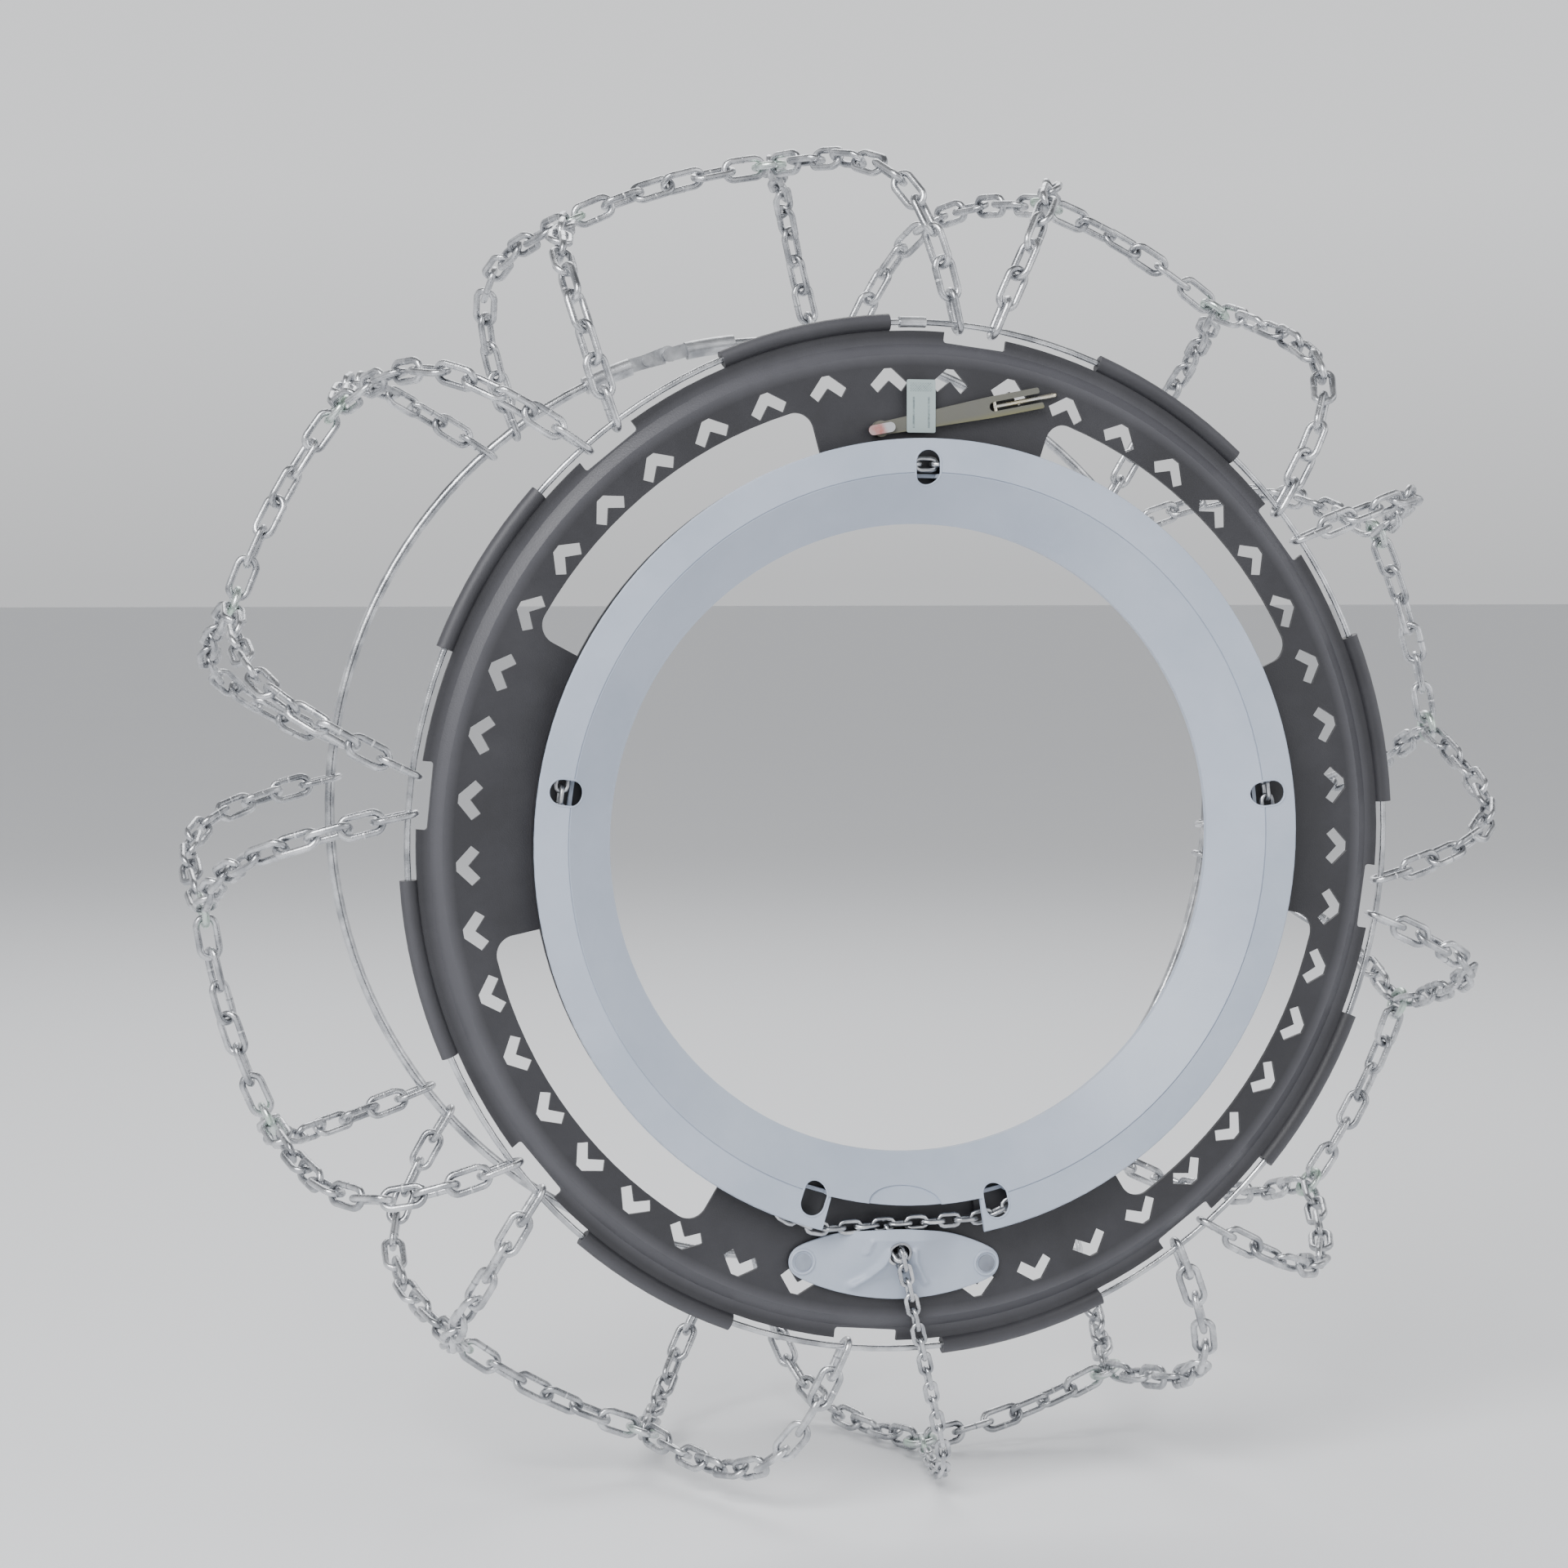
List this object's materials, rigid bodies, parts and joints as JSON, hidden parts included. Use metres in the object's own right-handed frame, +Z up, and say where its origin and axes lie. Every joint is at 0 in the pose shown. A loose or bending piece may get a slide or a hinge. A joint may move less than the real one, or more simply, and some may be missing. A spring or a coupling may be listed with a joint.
{
  "type": "tire snow chains",
  "caption": "Snow chain for a car tyre in its fitted shape: a net of welded links between an inner and an outer hoop, with a disc, a ring-guided tension chain, a lock and a closure strap.",
  "frame": {"origin": "the centre of the tyre that the chain fits, on the wheel's axle and midway between the two hoops", "axes": "+Y along the axle towards the car, -Y outboard, +Z up, +X to the right seen from outboard"},
  "size_m": [0.6539, 0.244, 0.6538],
  "materials": {
    "zinc_steel": "bright zinc plate",
    "tinted_steel": "green-tinted passivated zinc plate",
    "dark_rubber": "matt black",
    "ring_plastic": "satin light blue-grey",
    "black_plastic": "matt dark grey",
    "smoky_strap": "smoky translucent rubber, given as a solid grey",
    "tag_label": "pale label",
    "brass_wire": "bright yellow passivated wire",
    "red_rivet": "reddish lacquered rivet"
  },
  "bodies": {
    "chain": {"coupling_eye": "zinc_steel", "coupling_pin": "zinc_steel", "coupling_post": "zinc_steel", "cover_ring": "ring_plastic", "disc": "dark_rubber", "hoop_sleeve": "zinc_steel", "inner_hoop": "zinc_steel", "inner_v_1": "zinc_steel", "inner_v_2": "zinc_steel", "inner_v_3": "zinc_steel", "inner_v_4": "zinc_steel", "inner_v_5": "zinc_steel", "inner_v_6": "zinc_steel", "inner_v_7": "zinc_steel", "inner_v_8": "zinc_steel", "lock_base": "black_plastic", "lock_plate": "ring_plastic", "lock_rivets": "zinc_steel", "outer_hoop": "zinc_steel", "outer_v_1": "zinc_steel", "outer_v_2": "zinc_steel", "outer_v_3": "zinc_steel", "outer_v_4": "zinc_steel", "outer_v_5": "zinc_steel", "outer_v_6": "zinc_steel", "outer_v_7": "zinc_steel", "outer_v_8": "zinc_steel", "pawl_pin": "zinc_steel", "pawl_spring": "zinc_steel", "ring_carrier": "black_plastic", "ring_screws": "zinc_steel", "strand_lead": "zinc_steel", "strand_shackle": "tinted_steel", "strand_tail": "zinc_steel", "strap_rivet": "red_rivet", "tension_loop": "zinc_steel", "throat_eyelet": "zinc_steel", "track_chain_1": "zinc_steel", "track_chain_2": "zinc_steel", "track_chain_3": "zinc_steel", "track_chain_4": "zinc_steel", "track_chain_5": "zinc_steel", "track_chain_6": "zinc_steel", "track_chain_7": "zinc_steel", "track_chain_8": "zinc_steel", "tread_rings": "tinted_steel"},
    "strand": {"tension_strand": "zinc_steel"},
    "pawl": {"lock_pawl": "zinc_steel"},
    "strap": {"closure_strap": "smoky_strap", "size_tag": "tag_label"},
    "hook": {"closure_hook": "brass_wire"},
    "latch": {"coupling_latch": "zinc_steel"}
  },
  "joints": [
    {"name": "strand_pull", "type": "slide", "parent": "chain", "child": "strand", "axis": [0.2779, 0.2408, -0.9299], "range_m": [0, 0.003]},
    {"name": "pawl_lift", "type": "hinge", "parent": "chain", "child": "pawl", "pos_m": [-0.01231, -0.1163, -0.20622], "axis": [-0.9981, 0, 0.061], "range_deg": [0, 18]},
    {"name": "strap_swing", "type": "hinge", "parent": "chain", "child": "strap", "pos_m": [-0.02, -0.11315, 0.1868], "axis": [0, -1, 0], "range_deg": [0, 18]},
    {"name": "hook_lift", "type": "hinge", "parent": "strap", "child": "hook", "pos_m": [0.03652, -0.11495, 0.19789], "axis": [0.1925, 0, -0.9813], "range_deg": [0, 100]},
    {"name": "latch_swing", "type": "hinge", "parent": "chain", "child": "latch", "pos_m": [-0.07496, 0.1095, 0.23019], "axis": [0, -1, 0], "range_deg": [0, 70]}
  ],
  "couplings": [
    {"joint": "pawl_lift", "follows": "strand_pull", "rad_per_m": 104.72}
  ]
}
